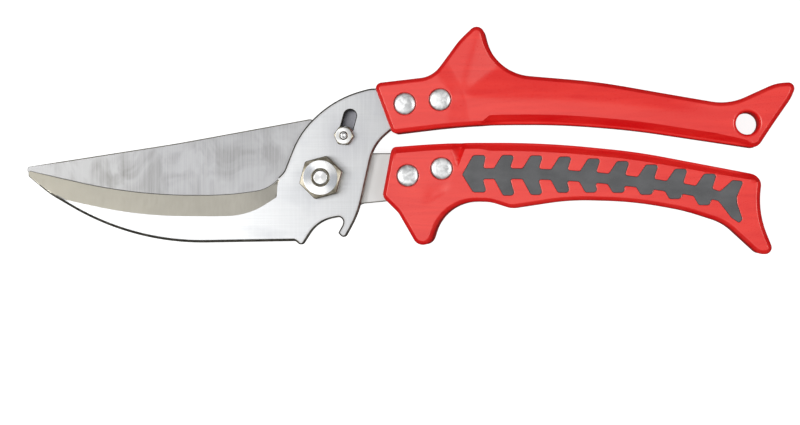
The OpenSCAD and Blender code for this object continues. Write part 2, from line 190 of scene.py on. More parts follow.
def distance(p, path):
    """Distance from each point to a path, and the sign of the path's side that it lies on (left is +)."""
    best, side = np.full(len(p), 1e9), np.ones(len(p))
    for s, e in zip(path, path[1:]):
        d = e - s
        if d @ d < 1e-9:
            continue
        t = np.clip((p - s) @ d / (d @ d), 0, 1)
        away = p - (s + t[:, None] * d)
        far = np.hypot(away[:, 0], away[:, 1])
        near = far < best
        best[near] = far[near]
        side[near] = np.sign(d[0] * away[near, 1] - d[1] * away[near, 0])
    return best, side


def inside(p, ring):
    """Whether each point is inside a closed ring."""
    odd = np.zeros(len(p), bool)
    for (x0, y0), (x1, y1) in zip(ring, np.roll(ring, -1, 0)):
        if y0 != y1:
            cut = (y0 > p[:, 1]) != (y1 > p[:, 1])
            odd ^= cut & (p[:, 0] < (x1 - x0) * (p[:, 1] - y0) / (y1 - y0) + x0)
    return odd


def smooth(x, low, high):
    """0 below low and 1 above high, with a soft change between."""
    t = np.clip((x - low) / (high - low), 0, 1)
    return t * t * (3 - 2 * t)


def rim_profile(t):
    """Moulded rim's profile: 1 at its foot and 0 where it meets the face, partly flat and partly round."""
    t = np.clip(t, 0, 1)
    return 0.6 * (1 - t) + 0.4 * (1 - np.sqrt(1 - (1 - t) ** 2))


# ---- Meshes ----

def pairs(ring):
    """Each point of a ring with the next one."""
    return list(zip(ring, ring[1:] + ring[:1]))


class Piece:
    """Points and faces of one closed piece. Each face has a mark, which is its material's number."""

    def __init__(self):
        self.points, self.faces, self.marks, self.edge_band = [], [], [], []
        self.mouths, self.backs = [], []

    def ring(self, flat, z, edge_band=0.0):
        first = len(self.points)
        z = np.broadcast_to(z, len(flat))
        self.points += [(x, y, h) for (x, y), h in zip(flat, z)]
        self.edge_band += list(np.broadcast_to(edge_band, len(flat)))
        return list(range(first, first + len(flat)))

    def face(self, ids, mark=0):
        self.faces.append(ids)
        self.marks.append(mark)

    def strip(self, a, b, mark=0):
        """Faces between two rings, which look outwards if a is below b and both run counter-clockwise."""
        for (a0, a1), (b0, b1) in zip(pairs(a), pairs(b)):
            self.face([a0, a1, b1, b0], mark)

    def strips(self, rings, mark=0):
        for a, b in zip(rings, rings[1:]):
            self.strip(a, b, mark)

    def fan(self, ring, tip, up=True, mark=0):
        """Triangles from a ring to a point, which look up if up."""
        for a, b in pairs(ring):
            self.face([a, b, tip] if up else [b, a, tip], mark)

    def hole(self, ring_at, rows, marks=0):
        """Wall of a hole from its mouth down. rows are (growth of the ring, z). The mouth and the back are
        kept for the faces that they open in."""
        rings = [self.ring(ring_at(grow), z) for grow, z in rows]
        for upper, lower, mark in zip(rings, rings[1:], np.broadcast_to(marks, len(rings) - 1)):
            self.strip(lower[::-1], upper[::-1], int(mark))
        self.mouths.append(rings[0])
        self.backs.append(rings[-1])

    def fill(self, rings, height, spacing, up=True, features=(), mark=0):
        """Closes the area inside the first ring and outside the others. The height may be a function of
        points, and the mark may be one of the faces' middles."""
        loops = [np.array([self.points[i][:2] for i in r]) for r in rings]
        bound = np.concatenate(loops)
        ids = [i for r in rings for i in r]

        def within(p):
            return np.logical_xor.reduce([inside(p, loop) for loop in loops])

        order = {point: k for k, point in enumerate(ids)}
        edges = [(order[a], order[b]) for r in rings for a, b in pairs(r)]
        extra = np.zeros((0, 2))
        for path in features:
            chain = clear_of(spread(path, spacing * 0.6), bound, spacing * 0.3)
            chain = chain[within(chain)]
            first = len(bound) + len(extra)
            edges += [(first + i, first + i + 1) for i in range(len(chain) - 1)
                      if np.linalg.norm(chain[i + 1] - chain[i]) < spacing]
            extra = np.concatenate([extra, chain])
        inner = clear_of(hexes(loops[0], spacing), np.concatenate([bound, extra]), spacing * 0.55)
        inner = np.concatenate([extra, inner[within(inner)]])
        low, high = bound.min(0) - 9, bound.max(0) + 9
        far = [low, (high[0], low[1]), high, (low[0], high[1])]
        whole = np.concatenate([bound, inner, far])
        made = geometry.delaunay_2d_cdt([Vector(p) for p in whole], edges, [], 0, 1e-7, True)
        flat = np.array([v[:] for v in made[0]])
        new = self.ring(flat, height(flat) if callable(height) else height)
        where = [ids[o[0]] if o and o[0] < len(ids) else new[i] for i, o in enumerate(made[3])]
        middles = np.array([flat[list(f)].mean(0) for f in made[2]])
        keep = within(middles)
        marks = mark(middles) if callable(mark) else np.full(len(middles), mark)
        # The area lies on the left of the outer ring's sides and on the right of a hole's.
        sides = {*pairs(rings[0]), *[(b, a) for r in rings[1:] for a, b in pairs(r)]}
        for f, kept, m in zip(made[2], keep, marks):
            ids_of = [where[i] for i in f]
            if any(side in sides for side in pairs(ids_of)):
                kept = True
            elif any((b, a) in sides for a, b in pairs(ids_of)):
                kept = False
            if kept:
                self.face(ids_of if up else ids_of[::-1], int(m))

    def build(self, name, materials, flip=False, sharp=38):
        """Makes the object, mirrored to the rear if flip, and without its unused points."""
        used = sorted({i for f in self.faces for i in f})
        new = {old: i for i, old in enumerate(used)}
        points = np.array([self.points[i] for i in used])
        faces = [[new[i] for i in f] for f in self.faces]
        if flip:
            points[:, 2] *= -1
            faces = [f[::-1] for f in faces]
        mesh = bpy.data.meshes.new(name)
        mesh.from_pydata((points * MM + PIVOT).tolist(), [], faces)
        mesh.polygons.foreach_set("material_index", self.marks)
        mesh.validate()
        mesh.shade_smooth()
        mesh.set_sharp_from_angle(angle=math.radians(sharp))
        part_marks(mesh)
        edge_band = mesh.attributes.new("edge_band", "FLOAT", "POINT")
        edge_band.data.foreach_set("value", [float(self.edge_band[i]) for i in used])
        for m in materials:
            mesh.materials.append(m)
        return add_object(name, mesh)


def add_object(name, data):
    """Makes an object and puts it in the scene."""
    obj = bpy.data.objects.new(name, data)
    bpy.context.scene.collection.objects.link(obj)
    return obj


def part_marks(mesh):
    """Makes the edges between different materials sharp."""
    marks = {}
    for face in mesh.polygons:
        for key in face.edge_keys:
            marks.setdefault(key, set()).add(face.material_index)
    for edge in mesh.edges:
        if len(marks.get(edge.key, ())) > 1:
            edge.use_edge_sharp = True


def spread(path, spacing):
    """Evenly spaced points along a path."""
    path = np.array(path, float)
    steps = np.linalg.norm(np.diff(path, axis=0), axis=1)
    along = np.concatenate([[0], np.cumsum(steps)])
    at = np.linspace(0, along[-1], max(2, int(along[-1] / spacing)))
    return np.stack([np.interp(at, along, path[:, 0]), np.interp(at, along, path[:, 1])], 1)


def hexes(ring, s):
    """Triangular grid of points over a ring's box."""
    low, high = ring.min(0), ring.max(0)
    rows = np.arange(low[1], high[1], s * 0.866)
    return np.array([(x, y) for k, y in enumerate(rows)
                     for x in np.arange(low[0] + s / 2 * (k % 2), high[0], s)]).reshape(-1, 2)


def clear_of(points, others, gap):
    """The points that are further than gap from all the others, worked out in blocks to save memory."""
    if not len(points) or not len(others):
        return points
    kept = []
    for block in np.array_split(points, max(1, len(points) // 400)):
        far = np.linalg.norm(block[:, None] - others[None], axis=2).min(1)
        kept.append(block[far > gap])
    return np.concatenate(kept)


def lathe(piece, at, rows, steps=64, turn=0.0, marks=None):
    """Turns a profile round an upright axis. A row is (r, z) or a function of the angles that gives r and z.
    A profile that starts and ends on the axis is closed there. Any other joins its last row to its first."""
    a = np.arange(steps) * 2 * math.pi / steps
    rings = []
    for row in rows:
        r, z = row(a) if callable(row) else row
        on_axis = np.ndim(r) == 0 and r == 0
        flat = [at] if on_axis else at + np.reshape(r, (-1, 1)) * around(a + turn)
        rings.append(piece.ring(flat, z))
    if len(rings[0]) > 1:
        rings.append(rings[0])
    for k, (low, high) in enumerate(zip(rings, rings[1:])):
        mark = marks[k] if marks else 0
        if len(low) == 1:
            piece.fan(high, low[0], False, mark)
        elif len(high) == 1:
            piece.fan(low, high[0], True, mark)
        else:
            piece.strip(low, high, mark)
    return piece


def turned(name, at, rows, steps, material, sharp=30):
    """A piece that is one turned profile."""
    return lathe(Piece(), at, rows, steps).build(name, [material], sharp=sharp)


def soft_corners(rows, r):
    """A turned profile with its corners rounded, except the first and last."""
    rows = [np.array(row, float) for row in rows]
    made = [tuple(rows[0])]
    for a, b, c in zip(rows, rows[1:], rows[2:]):
        u, v = unit(a - b), unit(c - b)
        cut = min(r, np.linalg.norm(a - b) * 0.45, np.linalg.norm(c - b) * 0.45)
        p, q = b + u * cut, b + v * cut
        made += [tuple((1 - t) ** 2 * p + 2 * t * (1 - t) * b + t * t * q) for t in np.arange(4) / 3]
    return made + [tuple(rows[-1])]


def prism(name, outline, inset, z0, z1, material, flip=False):
    """Upright block on a rounded outline."""
    piece = Piece()
    ring, = nested(outline, [inset])
    low, high = piece.ring(ring, z0), piece.ring(ring, z1)
    piece.strip(low, high)
    piece.face(low[::-1])
    piece.face(high)
    return piece.build(name, [material], flip)


def cut_away(obj, tool, sharp=38):
    """Takes a tool's space out of an object, and removes the tool."""
    cut = obj.modifiers.new("cut", "BOOLEAN")
    cut.operation, cut.solver, cut.object = "DIFFERENCE", "MANIFOLD", tool
    graph = bpy.context.evaluated_depsgraph_get()
    mesh = bpy.data.meshes.new_from_object(obj.evaluated_get(graph))
    obj.modifiers.clear()
    obj.data = mesh
    mesh.set_sharp_from_angle(angle=math.radians(sharp))
    bpy.data.objects.remove(tool)


# ---- Materials ----

def add_node(tree, kind, inputs=(), **settings):
    """Adds a shader node. An input's value is a number, a colour or another node's output."""
    made = tree.nodes.new("ShaderNode" + kind)
    for key, value in settings.items():
        setattr(made, key, value)
    for key, value in dict(inputs).items():
        if isinstance(value, bpy.types.NodeSocket):
            tree.links.new(value, made.inputs[key])
        else:
            made.inputs[key].default_value = value
    return made


class Shader:
    """A material's nodes, with short calls for the ones that are used here."""

    def __init__(self, name, **sockets):
        self.material = bpy.data.materials.new(name)
        self.material.use_nodes = True
        self.tree = self.material.node_tree
        self.shader = self.tree.nodes["Principled BSDF"]
        for socket, value in sockets.items():
            self.shader.inputs[socket.replace("_", " ")].default_value = value
        self.place = self.node("TexCoord").outputs["Object"]

    def node(self, kind, inputs=(), **settings):
        return add_node(self.tree, kind, inputs, **settings)

    def noise(self, per_mm, detail=3.0, roughness=0.55, distortion=0.0, offset=0.0):
        """Noise with this many cells per millimetre along x, y and z."""
        moved = self.node("Mapping", {"Vector": self.place, "Scale": [v / MM for v in per_mm],
                                      "Location": (offset,) * 3})
        return self.node("TexNoise", {"Vector": moved.outputs[0], "Scale": 1.0, "Detail": detail,
                                      "Roughness": roughness, "Distortion": distortion}).outputs[0]

    def axis(self, k):
        return self.node("SeparateXYZ", {0: self.place}).outputs[k]

    def span(self, value, low, high, to_low=0.0, to_high=1.0):
        return self.node("MapRange", {0: value, 1: low, 2: high, 3: to_low, 4: to_high}).outputs[0]

    def mix(self, factor, a, b):
        colours = [v if isinstance(v, bpy.types.NodeSocket) else (*v, 1) for v in (a, b)]
        made = self.node("Mix", {0: factor, 6: colours[0], 7: colours[1]}, data_type="RGBA")
        return made.outputs[2]

    def over(self, tone, colour, by, low, high, most=1.0):
        """Lays a colour over a tone while by goes from low to high, as far as most."""
        return self.mix(self.span(by, low, high, 0.0, most), tone, colour)

    def maths(self, operation, a, b=0.0):
        return self.node("Math", {0: a, 1: b}, operation=operation).outputs[0]

    def edge_band(self):
        return self.node("Attribute", attribute_name="edge_band").outputs["Fac"]

    def round_tangent(self):
        return self.node("Tangent", direction_type="RADIAL", axis="Z").outputs[0]

    def finish(self, tone, by, rough, depth=0.0, at=(0.3, 0.7), **sockets):
        """Links the colour, and the roughness and bumps that follow one noise. depth is in millimetres."""
        if depth:
            bump = self.node("Bump", {"Height": by, "Strength": 1.0, "Distance": depth * MM})
            sockets["Normal"] = bump.outputs[0]
        sockets |= {"Base Color": tone, "Roughness": self.span(by, *at, *rough)}
        for socket, value in sockets.items():
            self.tree.links.new(value, self.shader.inputs[socket])
        return self.material


def two_tone(name, per_mm, dark, pale, rough, depth=0.0, detail=3, distortion=0.0, tone_at=(0.3, 0.7),
             at=(0.3, 0.7), **sockets):
    """A material whose colour, roughness and bumps all follow one noise."""
    s = Shader(name, **sockets)
    by = s.noise(per_mm, detail, distortion=distortion)
    return s.finish(s.over(dark, pale, by, *tone_at), by, rough, depth, at)


def bright_steel():
    """Front plate's face: fine grinding lines both ways, painted shade from the blade towards the tang, and
    a painted shadow round the lock.
    """
    s = Shader("polished_steel", Metallic=1.0)
    lines = s.noise((0.03, 3.2, 3.2), detail=4, roughness=0.7)
    cross = s.noise((2.6, 0.05, 2.6), detail=3, roughness=0.7, offset=2.0)
    cloud = s.noise((0.05, 0.09, 0.06), detail=3, distortion=0.5)
    # Painted shade: the face is painted darker from the blade towards the pivot and the tang, where it
    # reflects less light.
    tone = s.over((0.68, 0.69, 0.70), (0.47, 0.475, 0.485), s.axis(0), -0.055, -0.012)
    # Painted shadow: the face is painted darker within 10 mm of the lock's stud, darkest 2 mm from it.
    shadow_centre = [float(PIVOT[k] + STUD_AT[k] * MM) for k in (0, 1)]
    away = s.node("VectorMath", {0: s.place, 1: (*shadow_centre, float(PIVOT[2] + PLATE_T * MM))},
                  operation="DISTANCE").outputs["Value"]
    tone = s.over(tone, (0.36, 0.36, 0.39), away, 0.010, 0.002, 0.5)
    tone = s.over(tone, (0.40, 0.41, 0.44), cloud, 0.48, 0.72, 0.45)
    tone = s.over(tone, (0.34, 0.345, 0.35), lines, 0.35, 0.7, 0.18)
    tone = s.over(tone, (0.80, 0.81, 0.82), cross, 0.45, 0.75, 0.14)
    # The face is darker towards its edges, over the outer 1.2 mm.
    tone = s.over(tone, (0.20, 0.18, 0.16), s.edge_band(), 0.0, 1.0, 0.5)
    return s.finish(tone, lines, (0.26, 0.42), 0.003, (0.25, 0.75))


def brushed_steel():
    """Rear plate's face: coarse grinding lines across the blade, cloudy stains, and a painted highlight that
    makes the tang paler.
    """
    s = Shader("brushed_steel", Metallic=1.0)
    lines = s.noise((2.0, 0.035, 2.0), detail=5, roughness=0.75)
    cloud = s.noise((0.09, 0.06, 0.05), detail=3, distortion=0.8)
    blue = s.noise((0.016, 0.01, 0.01), detail=1, offset=3.7)
    tone = s.over((0.215, 0.212, 0.205), (0.37, 0.37, 0.372), cloud, 0.38, 0.60)
    tone = s.over(tone, (0.31, 0.315, 0.345), blue, 0.45, 0.6, 0.3)
    tone = s.over(tone, (0.45, 0.45, 0.452), lines, 0.38, 0.66, 0.5)
    # Painted highlight: the face is painted paler towards the pivot and paler still on the tang, where it
    # reflects more light.
    tone = s.over(tone, (0.50, 0.50, 0.51), s.axis(0), -0.047, -0.033, 0.4)
    tone = s.over(tone, (0.62, 0.61, 0.595), s.axis(0), -0.027, -0.022, 0.6)
    return s.finish(tone, lines, (0.34, 0.5), 0.004, (0.25, 0.75))


def ground_steel():
    """The strips ground along the cutting edges."""
    s = Shader("ground_steel", Metallic=1.0)
    lines = s.noise((1.6, 0.12, 0.8), detail=4, roughness=0.7)
    cloud = s.noise((0.05, 0.1, 0.05), detail=2)
    # Painted reflection: the strip is painted paler towards the tip and darker towards the pivot, as its
    # reflection changes along the blade.
    tone = s.over((0.95, 0.905, 0.77), (0.62, 0.595, 0.53), s.axis(0), -0.12, -0.045)
    tone = s.over(tone, (0.45, 0.43, 0.38), cloud, 0.3, 0.7, 0.2)
    tone = s.over(tone, (0.86, 0.84, 0.78), lines, 0.4, 0.7, 0.2)
    return s.finish(tone, lines, (0.42, 0.52), 0.002)


def sheared_steel():
    """Cut sides of the plates, duller than their faces, and painted dark as painted shade along the plates'
    edges.
    """
    return two_tone("sheared_steel", (0.9, 0.9, 0.25), (0.17, 0.16, 0.135), (0.34, 0.32, 0.275),
                    (0.35, 0.55), 0.004, detail=4, Metallic=1.0)


def bored_steel():
    """Walls of the plates' holes and slot, painted nearly black as painted shade inside them."""
    return two_tone("bored_steel", (0.8, 0.8, 0.4), (0.012, 0.011, 0.009), (0.05, 0.045, 0.035),
                    (0.4, 0.6), Metallic=0.6)


def plated_steel():
    """Bolt, stud, washer and the small nut's face: turned and plated, with a radial sheen."""
    s = Shader("plated_steel", Metallic=1.0, Anisotropic=0.7)
    fine = s.noise((0.35, 0.35, 0.35))
    tone = s.over((0.56, 0.565, 0.57), (0.70, 0.70, 0.69), fine, 0.3, 0.7)
    return s.finish(tone, fine, (0.26, 0.36), Tangent=s.round_tangent())


def turned_steel():
    """Face of the pivot nut: turning marks round the pivot, and a painted sheen, dark in two opposite
    sectors and pale in the two between.
    """
    s = Shader("turned_steel", Metallic=1.0, Anisotropic=0.6)
    x = s.maths("SUBTRACT", s.axis(0), float(PIVOT[0]))
    y = s.maths("SUBTRACT", s.axis(1), float(PIVOT[1]))
    angle = s.maths("ADD", s.maths("ARCTAN2", y, x), 0.3)
    # Painted sheen: cos(2 * angle) paints two opposite sectors of the face dark and the two between pale.
    painted_sheen = s.maths("COSINE", s.maths("MULTIPLY", angle, 2.0))
    radius = s.maths("POWER", s.maths("ADD", s.maths("MULTIPLY", x, x), s.maths("MULTIPLY", y, y)), 0.5)
    turning = s.node("TexNoise", {"W": radius, "Scale": 4200.0, "Detail": 2.0},
                     noise_dimensions="1D").outputs[0]
    cloud = s.noise((0.3, 0.3, 0.3))
    share = s.maths("ADD", painted_sheen, s.span(cloud, 0.3, 0.7, -0.35, 0.35))
    tone = s.over((0.74, 0.74, 0.74), (0.36, 0.375, 0.40), share, -0.6, 0.9)
    tone = s.over(tone, (0.85, 0.85, 0.84), turning, 0.4, 0.7, 0.18)
    return s.finish(tone, turning, (0.24, 0.36), Tangent=s.round_tangent())


def plated_sides():
    """Flats of the nuts, where the plating is dull and yellowish."""
    return two_tone("plated_sides", (0.7, 0.7, 1.8), (0.17, 0.15, 0.11), (0.42, 0.385, 0.31),
                    (0.3, 0.45), 0.004, detail=4, Metallic=1.0)


def rivet_steel():
    """Rivet heads, pressed and tumbled: cloudy patches and small dents."""
    return two_tone("rivet_steel", (0.5, 0.5, 0.5), (0.46, 0.465, 0.47), (0.78, 0.785, 0.79), (0.36, 0.5),
                    0.03, distortion=0.8, tone_at=(0.38, 0.62), at=(0.35, 0.65), Metallic=1.0)


def spring_steel():
    """Spring, its pins and the lock's plate, blued by their heat treatment."""
    return two_tone("spring_steel", (0.8, 0.8, 0.8), (0.22, 0.22, 0.24), (0.36, 0.36, 0.40),
                    (0.28, 0.42), 0.004, detail=5, Metallic=1.0)


def red_plastic():
    """Moulded nylon: fine spark-eroded grain, streaky flow marks, and edges rubbed a little paler."""
    s = Shader("red_plastic", IOR=1.6, Specular_IOR_Level=0.66, Specular_Tint=(1, 0.97, 0.86, 1))
    grain = s.noise((3.2, 3.2, 3.2), roughness=0.6)
    flow = s.noise((0.03, 0.26, 0.14), roughness=0.6, distortion=1.2)
    tone = s.over((0.73, 0.001, 0.004), (0.81, 0.016, 0.013), flow, 0.32, 0.62)
    tone = s.over(tone, (0.80, 0.07, 0.06), grain, 0.4, 0.75, 0.12)
    patches = s.span(s.noise((0.25, 0.25, 0.25), detail=4), 0.46, 0.68, 0.0, 0.1)
    tone = s.mix(s.maths("MULTIPLY", s.edge_band(), patches), tone, (0.88, 0.16, 0.14))
    return s.finish(tone, grain, (0.26, 0.36), 0.004)


def soft_rubber():
    """Over-moulded grey rubber with a leathery grain and pale specks of dust."""
    s = Shader("soft_rubber", IOR=1.45)
    grain = s.noise((1.8, 1.8, 1.8), detail=5, roughness=0.65)
    dust = s.noise((2.6, 2.6, 2.6), detail=2, offset=11.0)
    cloud = s.noise((0.12, 0.2, 0.2), detail=2)
    tone = s.over((0.078, 0.080, 0.084), (0.104, 0.106, 0.111), cloud, 0.35, 0.65)
    tone = s.over(tone, (0.20, 0.20, 0.21), dust, 0.62, 0.74, 0.35)
    return s.finish(tone, grain, (0.5, 0.72), 0.045)


def button_plastic():
    """Dark moulding of the lock's thumb button."""
    return two_tone("button_plastic", (2.4, 2.4, 2.4), (0.028, 0.028, 0.030), (0.045, 0.045, 0.048),
                    (0.4, 0.55), 0.01, IOR=1.5)


BRIGHT, BRUSHED, GROUND, SHEARED = bright_steel(), brushed_steel(), ground_steel(), sheared_steel()
PLATED, FLATS, RIVET, SPRING = plated_steel(), plated_sides(), rivet_steel(), spring_steel()
TURNED, BORED = turned_steel(), bored_steel()
RED, RUBBER, BUTTON = red_plastic(), soft_rubber(), button_plastic()


def place(obj, body, node):
    """Puts a finished piece on its CAD body in place of a CAD node."""
    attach(obj, body)
    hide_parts(node)


# ---- Blade plates ----

def divide(rings, at, across, places):
    """Adds points to corresponding rings where their sides near a point pass places measured across it."""
    base = rings[0]
    ahead = np.roll(base, -1, 0)
    cuts = []
    for i, (a, b) in enumerate(zip(base, ahead)):
        s, e = (a - at) @ across, (b - at) @ across
        if np.linalg.norm(a - at) < 3:
            cuts += [(i, (v - s) / (e - s)) for v in places if min(s, e) < v < max(s, e)]
    made = []
    for ring in rings:
        new = []
        for i, p in enumerate(ring):
            new.append(p)
            new += [p + (ring[(i + 1) % len(ring)] - p) * t for t in sorted(t for k, t in cuts if k == i)]
        made.append(np.array(new))
    return made


FACE, SIDE, STRIP, WALL = range(4)        # marks of a plate's four materials
SHOULDER_R = 4                            # radius of the bolt that the plates turn on


def blade(name, outline, edge, far, holes, back_bevel, materials, flip):
    """Plate with a ground strip, bevelled edges, and holes given as rings at a growth."""
    cut, grind = line(edge), line(far)
    insets = [0, 0.07, 0.14, 0.2, 0.34, 0.5, 0.7, 0.9, 1.2]
    middle = (cut[len(cut) // 2] + grind[len(grind) // 2]) / 2
    strip_side = distance(middle[None], grind)[1][0]
    # The strip stops at a step near the pivot, where the front's lines end and the rear's start.
    end = -1 if cut[-1][0] > cut[0][0] else 0
    step_at = cut[end]
    along = unit(grind[end] - step_at)
    across = left(along) * math.copysign(1, left(along)[0])

    def strip_share(p):
        """0 on the plate's face and 1 at the cutting edge."""
        to_grind, side = distance(p, grind)
        to_cut, _ = distance(p, cut)
        share = np.where(side * strip_side > 0, to_grind / (to_grind + to_cut + 1e-6), 0)
        return share * np.clip(0.5 - (p - step_at) @ across / 0.2, 0, 1)

    def on_strip(p):
        return strip_share(p) > 0.004

    def height(p):
        return PLATE_T - (PLATE_T - EDGE_T) * strip_share(p)

    def width(p):
        """Width of the bevel: wide on the blade's back and narrow where it cuts."""
        keen = 1 - smooth(distance(p, cut)[0], 0.3, 1.5)
        back = smooth(-p[:, 1], -1, 8) * smooth(-p[:, 0], 8.5, 10)
        return (0.5 + (back_bevel - 0.5) * back) * (1 - keen) + 0.2 * keen

    piece = Piece()
    rings = divide(nested(outline, insets), step_at, across, (-0.1, 0.1))
    base = rings[0]
    # The insets shrink towards the narrow tip, so that the rings don't cross there.
    room = np.interp(base[:, 0], [-101, -90], [0.4, 1])
    rings = [base + (ring - base) * room[:, None] for ring in rings]
    w = width(base)
    rows = ((5, 0), (4, 0), (2, 0.03), (1, 0.08), (0, 0.17))
    low = [piece.ring(rings[i], GAP + dz, 1.0) for i, dz in rows]
    piece.strip(low[0], low[1], FACE)
    piece.strips(low[1:], SIDE)
    high = []
    for ring, inset in zip(rings, insets):
        z = height(ring) - np.clip(w - inset, 0, None) * 0.95 * room
        high.append(piece.ring(ring, np.maximum(z, GAP + 0.2), 1 - inset / insets[-1]))
    piece.strip(low[-1], high[0], SIDE)
    ground = on_strip(rings[3])
    for k, (a, b) in enumerate(zip(high, high[1:])):
        bevel = (insets[k] + insets[k + 1]) / 2 < w
        marks = np.where(bevel, SIDE, np.where(ground & np.roll(ground, -1), STRIP, FACE))
        for (a0, a1), (b0, b1), mark in zip(pairs(a), pairs(b), marks):
            piece.face([a0, a1, b1, b0], int(mark))
    for ring_at in holes:
        piece.hole(ring_at, [(0.55, PLATE_T), (0.3, PLATE_T), (0.16, PLATE_T - 0.03), (0, PLATE_T - 0.2),
                             (0, GAP + 0.1), (0.1, GAP), (0.3, GAP)], [FACE, *[WALL] * 5])
    steps = [np.array([step_at + along * t + across * v for t in (0, 2, 4, 6.3)]) for v in (-0.1, 0.1)]
    piece.fill([high[-1], *piece.mouths], height, 1.3, features=[grind, *steps],
               mark=lambda p: np.where(on_strip(p), STRIP, FACE))
    piece.fill([low[0], *piece.backs], GAP, 3.0, up=False)
    return piece.build(name, materials, flip)


def bore(at, r):
    """Round hole, as a ring at a growth."""
    return lambda grow: circle(at, r + grow)


def window(grow):
    """Arc-shaped window in the rear plate that the spring peg travels in."""
    half = 1.6
    spare = math.asin(half / PEG_R) + grow / PEG_R
    a = np.linspace(PEG_ANGLE - spare, PEG_ANGLE + OPENING + spare, 24)
    return np.concatenate([(PEG_R + half + grow) * around(a), (PEG_R - half - grow) * around(a[::-1])])


def slot(grow):
    """Slanted slot in the front plate that the lock's stud slides in."""
    return capsule(STUD_AT, 2.1 + grow, LOCK_TRAVEL + 0.1, LOCK_ANGLE)


front_holes = [bore((0, 0), SHOULDER_R + 0.05), slot, *[bore(at, BARREL_R + 0.05) for at in UPPER_RIVETS]]
rear_holes = [bore((0, 0), SHOULDER_R + 0.02), window, bore(PEG_R * around(STOP_ANGLE), PIN_R),
              *[bore(at, BARREL_R + 0.05) for at in LOWER_RIVETS]]
front_plate = blade("lower_blade_plate", FRONT, FRONT_EDGE, FRONT_GRIND, front_holes, 0.9,
                    [BRIGHT, SHEARED, GROUND, BORED], False)
place(front_plate, "upper_handle", "front_blade")
rear_plate = blade("upper_blade_plate", REAR, REAR_EDGE, REAR_GRIND, rear_holes, 0.3,
                   [BRUSHED, SHEARED, GROUND, BORED], True)
place(rear_plate, "lower_handle", "rear_blade")


# ---- Handles ----

RIM_W, RIM_H = 1.35, 1.6
INLAY_T = 1.2
SPINE = 1.75


def bone_y(x):
    """Middle of the fish bone's spine."""
    return 1.2 - max(x - 60, 0) ** 2 / 700


def fish_bone():
    """Outline of the soft inlay: arrow head, spine with ribs, and tail fork."""
    start, pitch, upper_pitch, up = 57.9, 9.35, 9.47, 6.1
    below, above = [], []
    for i, d in enumerate([7.3, 6.9, 5.8, 5.1, 4.3, 3.8, 3.8, 4.2]):
        x, u = start + i * pitch, start + i * upper_pitch
        y = bone_y(x + 3)
        below += [[x + 0.1, bone_y(x) - SPINE, 0.9], [x + d / 2.4, y - d, 1.1],
                  [x + 5.75 + (d - 3.8) * 0.36, y - d, 1.1], [x + 5.35, bone_y(x + 5) - SPINE, 0.7]]
        above += [[u, bone_y(u) + SPINE, 0.9], [u + 2.7, y + up, 1.2], [u + 6.8, y + up, 0.9],
                  [u + 5.3, bone_y(u + 5) + SPINE, 0.7]]
    tail = [[131.5, -7.9, 1.5], [135.7, -13.4, 1.2], [138.4, -15.2, 0.7], [139.3, -13.8, 0.8],
            [137.5, -8.5, 3], [137.5, -6.5, 2], [139.7, -1.4, 0.8], [136.1, -1.1, 1.0], [132, -4.8, 1.0]]
    head = [[54.3, 2.95, 0.7], [55.3, 7.3, 0.9], [51, 7.3, 1.3], [47.4, 0.9, 0.3], [51, -5, 1.3],
            [55.5, -5, 0.9], [54.2, -0.6, 0.7]]
    return head + below + tail + above[::-1]


def stretch(outline, low, high, keep):
    """Part of an outline's ring, where keep is true of (x, y), from x = low to x = high."""
    ring = nested(outline, [0])[0]
    part = ring[(ring[:, 0] > low) & (ring[:, 0] < high) & keep(ring[:, 0], ring[:, 1])]
    return part[np.argsort(part[:, 0])]


UPPER_INNER = stretch(UPPER, 24.6, 144.6, lambda x, y: y < 21 - 0.09 * np.maximum(x - 100, 0)
                      - 0.1 * np.maximum(x - 115, 0))
LOWER_INNER = stretch(LOWER, 24.0, 144.6, lambda x, y: y > 2 - 0.06 * np.maximum(x - 100, 0))
# Width of the steep chamfers along those edges, and share of the rim that they take, at places along x
UPPER_CHAMFER = [24, 52.6, 56.6, 80, 130, 140, 145], [0, 0, 3.1, 3.1, 2.9, 2.2, 0.8]
LOWER_CHAMFER = [22, 53.5, 56.5, 80, 107, 129, 143, 146], [2.3, 2.1, 2.8, 2.8, 2.7, 2.4, 2.1, 0.8]
UPPER_SHARE = [24, 54, 60, 138, 146], [0, 0, 1, 1, 0]
LOWER_SHARE = [22, 26, 52, 60, 138, 146], [0.5, 0.9, 0.9, 1, 1, 0]
LIP = 0.65          # width of the narrow lip below the steep chamfers
STEEP = 1.2         # slope of those chamfers
GRIP_DROP = 0.6     # the grip lies this much lower than the riveted pad
GRIP_FALL = 0.19    # slope of the upper grip's facet beyond its crest
PAD_LEFT = np.array([[36, 38], [39.5, 33.3], [43.2, 29], [44.3, 27], [42.5, 20.3], [41.5, 14]])
PAD_RIGHT = np.array([[40.5, 40], [43.6, 36], [46.6, 30], [48.3, 25.5], [49.5, 19], [50, 14]])
CREST = np.array([[53.4, 54], [51.3, 45], [48.6, 36], [47.6, 31.5], [48.3, 28.3], [51, 26.8], [60, 26.4],
                  [76, 26], [88, 25.2], [100, 24.4], [110, 22.8], [120, 21.5], [131, 20]])
NOTCH_X, NOTCH_Y, NOTCH_LEAN = 46, 3.5, 0.12
NOTCH_LEFT, NOTCH_RIGHT = 0.5, 0.28       # the notch's half widths, for each millimetre up from its foot
WEDGE = np.array([[33.5, -9.3], [38, -6.2], [44, -2.6]])


def chamfer(p, inner, widths):
    """Depth of the steep chamfer along the inner edge, which stops at a lip above the side."""
    s, _ = distance(p, inner)
    return np.clip(np.interp(p[:, 0], *widths) - np.maximum(s, LIP), 0, None) * STEEP


